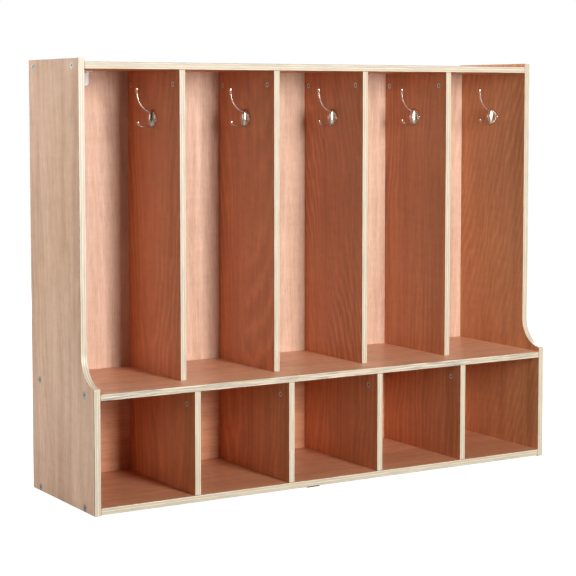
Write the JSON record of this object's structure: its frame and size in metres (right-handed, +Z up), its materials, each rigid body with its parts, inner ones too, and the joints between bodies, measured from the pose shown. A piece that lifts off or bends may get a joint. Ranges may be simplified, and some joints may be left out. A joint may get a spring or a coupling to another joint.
{
  "type": "school locker",
  "caption": "Open plywood classroom coat locker: tall coat bays with double hooks stand over a bench seat, with open cubbies below it.",
  "frame": {"origin": "on the floor, at the middle of the locker's footprint", "axes": "+X to the right as seen from the front, +Y from the front to the wall, +Z up"},
  "size_m": [1.212, 0.3302, 0.9652],
  "materials": {
    "plywood": "clear satin lacquer on reddish veneer, with pale ply edges",
    "back_sheet": "clear satin lacquer on thin reddish plywood",
    "hook_chrome": "bright plated",
    "zinc_fittings": "zinc plated",
    "dowel_wood": "plain turned wood",
    "bracket_enamel": "white enamel",
    "glide_plastic": "dark felt-backed plastic"
  },
  "bodies": {
    "root": {"bench_panel": "plywood", "bottom_panel": "plywood", "bracket_screws": "zinc_fittings", "coat_hook_1": "hook_chrome", "coat_hook_2": "hook_chrome", "coat_hook_3": "hook_chrome", "coat_hook_4": "hook_chrome", "coat_hook_5": "hook_chrome", "floor_glides": "glide_plastic", "hook_screws_1": "hook_chrome", "hook_screws_2": "hook_chrome", "hook_screws_3": "hook_chrome", "hook_screws_4": "hook_chrome", "hook_screws_5": "hook_chrome", "left_barrel_nuts": "zinc_fittings", "left_connector_bolts": "zinc_fittings", "left_side_panel": "plywood", "left_wall_bracket": "bracket_enamel", "lower_back_panel": "back_sheet", "lower_back_screws": "zinc_fittings", "lower_cam_bolts": "zinc_fittings", "lower_cam_locks": "zinc_fittings", "lower_divider_1": "plywood", "lower_divider_2": "plywood", "lower_divider_3": "plywood", "lower_divider_4": "plywood", "lower_divider_dowels": "dowel_wood", "right_barrel_nuts": "zinc_fittings", "right_connector_bolts": "zinc_fittings", "right_side_panel": "plywood", "right_wall_bracket": "bracket_enamel", "top_panel": "plywood", "upper_back_panel": "back_sheet", "upper_back_screws": "zinc_fittings", "upper_cam_bolts": "zinc_fittings", "upper_cam_locks": "zinc_fittings", "upper_divider_1": "plywood", "upper_divider_2": "plywood", "upper_divider_3": "plywood", "upper_divider_4": "plywood", "upper_divider_dowels": "dowel_wood"}
  },
  "joints": []
}
